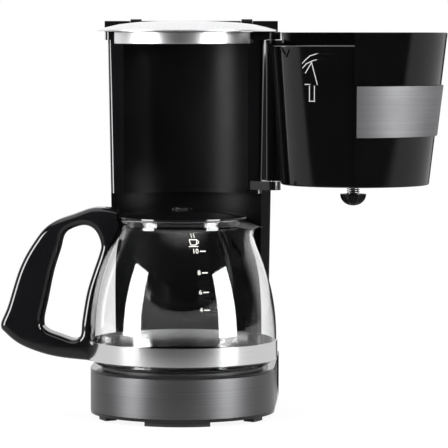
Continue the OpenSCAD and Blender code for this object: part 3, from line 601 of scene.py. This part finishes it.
def buildBasket():
    wall, edge = basket["wall"], basket["edge"]
    half = math.radians(basket["half"])
    front = -math.pi / 2
    skin = roundedSkin(lambda z: shellR(z) - wall, shellR, shellLow, shellHigh, edge)
    shell = spinMesh("basket_skin", skin, 144, start=front - half, sweep=2 * half)
    objectFrom("basket_skin", swungMesh(shell), "black_gloss", "basket", ("basket_shell",))
    rim = basket["rim"]
    flankTurn, flankIn, touch = math.radians(basket["flankTurn"]), basket["flankIn"], basket["touch"]
    bm = bmesh.new()
    for side in (-1, 1):
        first = front + side * half - (flankTurn if side > 0 else 0)
        flank = [(basket["holderLowR"] + touch, shellLow), (basket["lowR"] - flankIn, shellLow),
                 (shellR(rim) - flankIn, rim), (basket["holderTopR"] + touch, rim)]
        bm.from_mesh(spinMesh("flank", flank, 3, start=first, sweep=flankTurn))
    flanks = bpy.data.meshes.new("basket_flanks")
    bm.to_mesh(flanks)
    bm.free()
    objectFrom("basket_flanks", swungMesh(flanks), "black_gloss", "basket")
    low = shellLow + basket["bandUp"]
    high = low + basket["bandTall"]
    out = basket["bandOut"]
    strip = roundedSkin(lambda z: shellR(z) + touch, lambda z: shellR(z) + out, low, high,
                        basket["bandEdge"])
    reach = half - math.radians(basket["bandShort"])
    band = spinMesh("basket_strip", strip, 144, start=front - reach, sweep=2 * reach)
    objectFrom("basket_strip", swungMesh(band), "steel_band", "basket", ("basket_band",))
    objectFrom("basket_cup", swungMesh(cupMesh()), "black_gloss", "basket", ("basket_holder",))


def cupMesh():
    # the cup with its raised far wall, the hinge leaf and the barrel round the pin
    wall, rim, hole, boss = basket["wall"], basket["rim"], basket["valveHole"], basket["boss"]
    ledgeZ = rim - basket["ledgeDrop"]
    lowR = basket["holderLowR"]
    cup = [(hole, shellLow - 2), (boss, shellLow - 2), (boss, shellLow), (lowR - 1.2, shellLow),
           (lowR - 0.35, shellLow + 0.35), (holderR(shellLow + 1.2), shellLow + 1.2),
           (holderR(rim - 0.8), rim - 0.8), (holderR(rim) - 0.25, rim - 0.2), (holderR(rim) - 0.8, rim),
           (holderR(rim) - wall + 0.7, rim), (holderR(rim) - wall, rim - 0.7),
           (holderR(ledgeZ) - wall, ledgeZ), (holderR(ledgeZ) - wall - basket["ledge"], ledgeZ),
           (holderR(ledgeZ - 5) - wall, ledgeZ - 5), (lowR - wall, shellLow + 8),
           (12, shellLow + 3), (hole, shellLow + 3)]
    lean = math.atan2(pivot.y, pivot.x)
    bm = bmesh.new()
    bm.from_mesh(spinMesh("cup", cup, 160))
    first, last = (math.radians(a) for a in basket["farWall"])
    tall = roundedSkin(lambda z: holderR(z) - wall + 0.2, lambda z: holderR(z) - 0.2, rim - 2, shellHigh, 0.5)
    bm.from_mesh(spinMesh("far_wall", tall, 12, start=lean + first, sweep=last - first))
    leaf = boxMesh("leaf", (basket["holderTopR"] - 1, -basket["leaf"] / 2, shellLow),
                   (pivot.length / mm - basket["leafGap"], basket["leaf"] / 2, basket["leafTop"]))
    for vert in leaf.vertices:
        if vert.co.x < 70 * mm and vert.co.z < (shellLow + 1) * mm:
            vert.co.x = (lowR - 1) * mm
    leaf.transform(Matrix.Rotation(lean, 4, "Z"))
    bm.from_mesh(leaf)
    bore, out, top = basket["pinR"], basket["barrelR"], basket["leafTop"]
    tube = [(bore, shellLow + 0.3), (bore + 0.3, shellLow), (out - 0.6, shellLow), (out, shellLow + 0.6),
            (out, top - 0.6), (out - 0.6, top), (bore + 0.3, top), (bore, top - 0.3)]
    barrel = spinMesh("barrel", tube, 40)
    barrel.transform(Matrix.Translation(pivot))
    bm.from_mesh(barrel)
    mesh = bpy.data.meshes.new("basket_cup")
    bm.to_mesh(mesh)
    bm.free()
    return mesh


# raised lines on the side of the cup: a stepped rule and an arrow
relief = {"width": 1.2, "out": 0.9, "sunk": 0.15, "crest": 0.55, "past": 0.9, "step": 2, "lines": [
    [(89, 280.8), (96.3, 280.8), (98.7, 283.4), (102, 286.3), (108, 288.2), (123, 288.2), (123, 270.5)],
    [(89, 277.2), (96.5, 277.2), (99.2, 280.2), (104, 282.6), (114, 285)],
    [(103.2, 281.2), (98.6, 273.4)], [(103.2, 281.2), (107.6, 264.6)],
    [(101.6, 262.8), (101.6, 251.6), (105.4, 251.6), (105.4, 262.8)],
    [(98.4, 264.4), (101.6, 264.4)], [(79.0, 291.6), (82.6, 285.6), (84.6, 290.4)]]}


def ontoCup(x, z, out):
    # a place on the open cup's outside, seen from the front, in metres
    centre = swungOpen @ Vector((0, 0, 0))
    r = holderR(z) * mm + out * mm
    across = min(max((x * mm - centre.x) / r, -1), 1)
    return Vector((centre.x + r * across, centre.y - r * math.sqrt(1 - across * across), z * mm))


def buildRelief():
    bm = bmesh.new()
    half = relief["width"] / 2
    sunk, crest, out = relief["sunk"], relief["crest"], relief["out"]
    section = ((-1, -sunk), (-crest, out), (crest, out), (1, -sunk))
    for line in relief["lines"]:
        for (x0, z0), (x1, z1) in zip(line, line[1:]):
            long = math.hypot(x1 - x0, z1 - z0)
            nx, nz = -(z1 - z0) / long * half, (x1 - x0) / long * half
            ex, ez = ((b - a) / long * half * relief["past"] for a, b in ((x0, x1), (z0, z1)))
            count = max(int(long / relief["step"]), 1)
            rows = []
            for i in range(count + 1):
                t = i / count
                x = x0 - ex + (x1 - x0 + 2 * ex) * t
                z = z0 - ez + (z1 - z0 + 2 * ez) * t
                rows.append([bm.verts.new(ontoCup(x + nx * w, z + nz * w, rise)) for w, rise in section])
            for a, b in zip(rows, rows[1:]):
                for j in range(4):
                    k = (j + 1) % 4
                    bm.faces.new((a[j], b[j], b[k], a[k]))
            bm.faces.new(rows[0])
            bm.faces.new(reversed(rows[-1]))
    bmesh.ops.recalc_face_normals(bm, faces=bm.faces)
    mesh = bpy.data.meshes.new("cup_relief")
    bm.to_mesh(mesh)
    bm.free()
    objectFrom("cup_relief", mesh, "black_gloss", "basket", (), math.radians(20))


# fine ribs of the drip valve's dome, repeated by geometry nodes
dome = {"ribs": 8, "turn": 22.5, "radius": 10.0, "tall": 9.0, "out": 0.8, "thick": 0.9, "steps": 12,
        "sunk": 1.2, "floor": 0.6, "seed": 4, "uneven": 0.0, "low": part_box("drip_valve")[0].z}


def ribMesh():
    # one upright fin that follows the dome's curve, in the plane of X and Z
    curve = [math.radians(90 * i / dome["steps"]) for i in range(1, dome["steps"] + 1)]
    radius, tall, floor = dome["radius"], dome["tall"], dome["floor"]
    outer = [((radius + dome["out"]) * math.sin(a), tall * (1 - math.cos(a))) for a in curve]
    inner = [((radius - dome["sunk"]) * math.sin(a), floor + (tall - floor) * (1 - math.cos(a)))
             for a in curve]
    outline = outer + list(reversed(inner))
    bm = bmesh.new()
    half = dome["thick"] / 2 * mm
    sides = [[bm.verts.new((x * mm, side * half, z * mm)) for x, z in outline] for side in (-1, 1)]
    bm.faces.new(sides[0])
    bm.faces.new(list(reversed(sides[1])))
    for i in range(len(outline)):
        k = (i + 1) % len(outline)
        bm.faces.new((sides[0][k], sides[0][i], sides[1][i], sides[1][k]))
    return cleanMesh("rib", bm)


def turnedCopies():
    # a node tree that sets copies of one object around the Z axis, evenly where Uneven is 0
    tree = bpy.data.node_groups.new("turned_copies", "GeometryNodeTree")
    face = tree.interface
    face.new_socket("Geometry", in_out="INPUT", socket_type="NodeSocketGeometry")
    for name, kind in (("Piece", "Object"), ("Count", "Int"), ("First turn", "Float"), ("Seed", "Int"),
                       ("Uneven", "Float"), ("Material", "Material")):
        face.new_socket(name, in_out="INPUT", socket_type="NodeSocket" + kind)
    face.new_socket("Geometry", in_out="OUTPUT", socket_type="NodeSocketGeometry")
    link = tree.links.new
    given = tree.nodes.new("NodeGroupInput")
    result = tree.nodes.new("NodeGroupOutput")
    points = tree.nodes.new("GeometryNodePoints")
    link(given.outputs["Count"], points.inputs["Count"])
    index = tree.nodes.new("GeometryNodeInputIndex")
    share = maths(tree, "DIVIDE", index.outputs["Index"], given.outputs["Count"])
    uneven = tree.nodes.new("FunctionNodeRandomValue")
    link(given.outputs["Seed"], uneven.inputs["Seed"])
    shift = maths(tree, "MULTIPLY", uneven.outputs["Value"], given.outputs["Uneven"])
    first = maths(tree, "ADD", shift, given.outputs["First turn"])
    angle = maths(tree, "ADD", maths(tree, "MULTIPLY", share, 2 * math.pi), first)
    turn = tree.nodes.new("ShaderNodeCombineXYZ")
    link(angle, turn.inputs["Z"])
    piece = tree.nodes.new("GeometryNodeObjectInfo")
    link(given.outputs["Piece"], piece.inputs["Object"])
    copies = tree.nodes.new("GeometryNodeInstanceOnPoints")
    link(points.outputs["Points"], copies.inputs["Points"])
    link(piece.outputs["Geometry"], copies.inputs["Instance"])
    link(turn.outputs["Vector"], copies.inputs["Rotation"])
    real = tree.nodes.new("GeometryNodeRealizeInstances")
    link(copies.outputs["Instances"], real.inputs["Geometry"])
    paint = tree.nodes.new("GeometryNodeSetMaterial")
    link(real.outputs["Geometry"], paint.inputs["Geometry"])
    link(given.outputs["Material"], paint.inputs["Material"])
    link(paint.outputs["Geometry"], result.inputs["Geometry"])
    return tree


def buildRibs():
    rib = looseObject("rib", ribMesh())
    holder = looseObject("valve_ribs", bpy.data.meshes.new("valve_ribs"))
    ring = holder.modifiers.new("ribs", "NODES")
    ring.node_group = turnedCopies()
    values = {"Piece": rib, "Count": dome["ribs"], "First turn": math.radians(dome["turn"]),
              "Seed": dome["seed"], "Uneven": dome["uneven"], "Material": looks["black_gloss"]}
    for socket in ring.node_group.interface.items_tree:
        if socket.in_out == "INPUT" and socket.name in values:
            ring[socket.identifier] = values[socket.name]
    mesh = baked(holder)
    bpy.data.objects.remove(rib)
    middle = swungOpen @ Vector((0, 0, 0))
    mesh.transform(Matrix.Translation((middle.x, middle.y, dome["low"])))
    objectFrom("valve_ribs", mesh, "black_gloss", "drip_valve")


def buildSpring():
    bm = bmesh.new()
    bm.from_mesh(nodes["valve_spring"].data)
    mesh = cleanMesh("spring_coil", bm, 1e-6)
    coil = objectFrom("spring_coil", mesh, "pin_steel", "basket", ("valve_spring",))
    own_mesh(coil)


buildMouldings()
print("mouldings softened")
buildJug()
buildMarks()
buildHandle()
buildClip()
print("jug built")
buildBasket()
buildRelief()
buildRibs()
buildSpring()
print("basket built")

# two tall lamps at the front, one overhead, and a white room that mirrors see only in part
studio = {"floor": 22.0, "floorColour": 0.95, "lampAway": 1.45, "lampTurn": 60, "lampWide": 0.62,
          "lampTall": 0.92, "lampMiddle": 0.47, "lampPower": 40, "aimLower": 0.05, "topPower": 12,
          "topPlace": (0.1, 0.1, 1.3), "topAim": (0.05, 0, 0.2), "topSize": (1.5, 1.1),
          "floorRough": 0.9, "floorShine": 0.1,
          "dim": 0.03, "fill": 0.5, "tableEdge": -0.55, "tableSoft": 0.2, "tableSeen": 0.7,
          "behindFrom": 0.25, "behindFull": 0.6, "narrow": 0.35, "wide": 0.6, "backFrom": 0.0,
          "backFull": 0.2, "nearest": 0.05, "shadowFrom": 0.22, "shadowEnd": 0.6, "shadowLevel": 0.9,
          "overheadFrom": 0.7, "overheadFull": 0.85, "overheadSeen": 2.0,
          "unlit": ("basket_skin", "basket_cup", "basket_flanks")}


def areaLamp(name, where, aim, size, power, mirrored=True):
    data = bpy.data.lights.new(name, "AREA")
    data.shape = "RECTANGLE"
    data.size, data.size_y = size
    data.energy = power
    lamp = bpy.data.objects.new(name, data)
    lamp.location = where
    lamp.rotation_euler = (Vector(aim) - Vector(where)).to_track_quat("-Z", "Y").to_euler()
    lamp.visible_glossy = mirrored
    scene.collection.objects.link(lamp)
    return lamp


def shield(lamp, names):
    # keeps a lamp off some pieces, as a flag between them does in a studio
    flagged = bpy.data.collections.new(lamp.name + "_flag")
    for name in names:
        flagged.objects.link(bpy.data.objects[name])
    for entry in flagged.collection_objects:
        entry.light_linking.link_state = "EXCLUDE"
    lamp.light_linking.receiver_collection = flagged


def ranged(tree, value, low, high, first, last):
    smooth = tree.nodes.new("ShaderNodeMapRange")
    smooth.interpolation_type = "SMOOTHSTEP"
    for socket, number in (("From Min", low), ("From Max", high), ("To Min", first), ("To Max", last)):
        smooth.inputs[socket].default_value = number
    tree.links.new(value, smooth.inputs["Value"])
    return smooth.outputs["Result"]


def bounced(tree, path):
    # 1 once a ray has met a mirror or a gloss, and isn't lighting a matt surface
    met = maths(tree, "GREATER_THAN", path.outputs["Glossy Depth"], 0.5)
    return maths(tree, "MULTIPLY", met, maths(tree, "SUBTRACT", 1.0, path.outputs["Is Diffuse Ray"]))


def straight(tree, path):
    # 1 for what the camera sees directly or through clear walls
    clear = maths(tree, "LESS_THAN", path.outputs["Glossy Depth"], 0.5)
    through = maths(tree, "MULTIPLY", path.outputs["Is Transmission Ray"], clear)
    return maths(tree, "MAXIMUM", path.outputs["Is Camera Ray"], through)


def buildStudio():
    for side, name in ((-1, "left_box"), (1, "right_box")):
        turn = math.radians(studio["lampTurn"])
        where = (side * studio["lampAway"] * math.sin(turn), -studio["lampAway"] * math.cos(turn),
                 studio["lampMiddle"])
        lamp = areaLamp(name, where, (0, 0, studio["lampMiddle"] - studio["aimLower"]),
                        (studio["lampWide"], studio["lampTall"]), studio["lampPower"])
        shield(lamp, studio["unlit"])
    areaLamp("top_box", studio["topPlace"], studio["topAim"], studio["topSize"], studio["topPower"], False)
    world = bpy.data.worlds.new("white_room")
    scene.world = world
    world.use_nodes = True
    tree = world.node_tree
    back = tree.nodes["Background"]
    path = tree.nodes.new("ShaderNodeLightPath")
    where = tree.nodes.new("ShaderNodeTexCoord")
    parts = tree.nodes.new("ShaderNodeSeparateXYZ")
    tree.links.new(where.outputs["Generated"], parts.inputs["Vector"])
    # mirrors see the white room behind and above the object, and a dim room in front of it
    behind = ranged(tree, parts.outputs["Y"], studio["behindFrom"], studio["behindFull"], studio["dim"], 1.0)
    overhead = ranged(tree, parts.outputs["Z"], studio["overheadFrom"], studio["overheadFull"],
                      studio["dim"], studio["overheadSeen"])
    mirrored = maths(tree, "MULTIPLY", bounced(tree, path), maths(tree, "MAXIMUM", behind, overhead))
    plain = maths(tree, "MULTIPLY", path.outputs["Is Diffuse Ray"], studio["fill"])
    tree.links.new(maths(tree, "MAXIMUM", straight(tree, path), maths(tree, "MAXIMUM", mirrored, plain)),
                   back.inputs["Strength"])
    back.inputs["Color"].default_value = (1, 1, 1, 1)


def buildFloor():
    mesh = bpy.data.meshes.new("floor")
    half = studio["floor"]
    mesh.from_pydata([(-half, -half, 0), (half, -half, 0), (half, half, 0), (-half, half, 0)], [],
                     [(0, 1, 2, 3)])
    floor = bpy.data.objects.new("floor", mesh)
    scene.collection.objects.link(floor)
    made, tree, shader = startMaterial("floor_paint")
    level = studio["floorColour"]
    shader.inputs["Base Color"].default_value = (level, level, level, 1)
    shader.inputs["Roughness"].default_value = studio["floorRough"]
    shader.inputs["Specular IOR Level"].default_value = studio["floorShine"]
    glow = tree.nodes.new("ShaderNodeEmission")
    path = tree.nodes.new("ShaderNodeLightPath")
    where = tree.nodes.new("ShaderNodeTexCoord")
    parts = tree.nodes.new("ShaderNodeSeparateXYZ")
    tree.links.new(where.outputs["Object"], parts.inputs["Vector"])
    length = tree.nodes.new("ShaderNodeVectorMath")
    length.operation = "LENGTH"
    tree.links.new(where.outputs["Object"], length.inputs[0])
    # white a step away from the object, with its soft shadow left close to it
    direct = maths(tree, "MULTIPLY", straight(tree, path),
                   ranged(tree, length.outputs["Value"], studio["shadowFrom"], studio["shadowEnd"],
                          studio["shadowLevel"], 1.0))
    # mirrors see a pale table that ends in a dim room
    edge = studio["tableEdge"]
    table = ranged(tree, parts.outputs["Y"], edge, edge + studio["tableSoft"],
                   studio["dim"], studio["tableSeen"])
    # straight behind the object the table stays dark, which keeps the object's upright sides black
    aside = maths(tree, "ABSOLUTE", parts.outputs["X"], 0.0)
    slant = maths(tree, "DIVIDE", aside, maths(tree, "MAXIMUM", parts.outputs["Y"], studio["nearest"]))
    flank = ranged(tree, slant, studio["narrow"], studio["wide"], studio["dim"], 1.0)
    beside = ranged(tree, parts.outputs["Y"], studio["backFrom"], studio["backFull"], 1.0, 0.0)
    table = maths(tree, "MULTIPLY", table, maths(tree, "MAXIMUM", flank, beside))
    mirrored = maths(tree, "MULTIPLY", bounced(tree, path), table)
    tree.links.new(maths(tree, "MAXIMUM", straight(tree, path), mirrored), glow.inputs["Strength"])
    mixed = tree.nodes.new("ShaderNodeMixShader")
    tree.links.new(maths(tree, "MAXIMUM", direct, bounced(tree, path)), mixed.inputs["Fac"])
    tree.links.new(shader.outputs["BSDF"], mixed.inputs[1])
    tree.links.new(glow.outputs["Emission"], mixed.inputs[2])
    tree.links.new(mixed.outputs["Shader"], tree.nodes["Material Output"].inputs["Surface"])
    mesh.materials.append(made)


view = {"away": 2283 * mm, "turn": 3.7, "eye": 306 * mm, "aside": 0.826, "down": 3.84, "lens": 232.2,
        "sensor": 36, "farthest": 50}


def buildCamera():
    data = bpy.data.cameras.new("camera")
    data.lens = view["lens"]
    data.sensor_width = view["sensor"]
    data.clip_end = view["farthest"]
    camera = bpy.data.objects.new("camera", data)
    turn = math.radians(view["turn"])
    heading = turn - math.radians(view["aside"])
    down = math.radians(view["down"])
    camera.location = (view["away"] * math.sin(turn), -view["away"] * math.cos(turn), view["eye"])
    level = math.cos(down)
    forward = Vector((-math.sin(heading) * level, math.cos(heading) * level, -math.sin(down)))
    camera.rotation_euler = forward.to_track_quat("-Z", "Y").to_euler()
    scene.collection.objects.link(camera)
    scene.camera = camera


buildStudio()
buildFloor()
buildCamera()
scene.view_settings.view_transform = "Standard"
print("studio and camera ready")
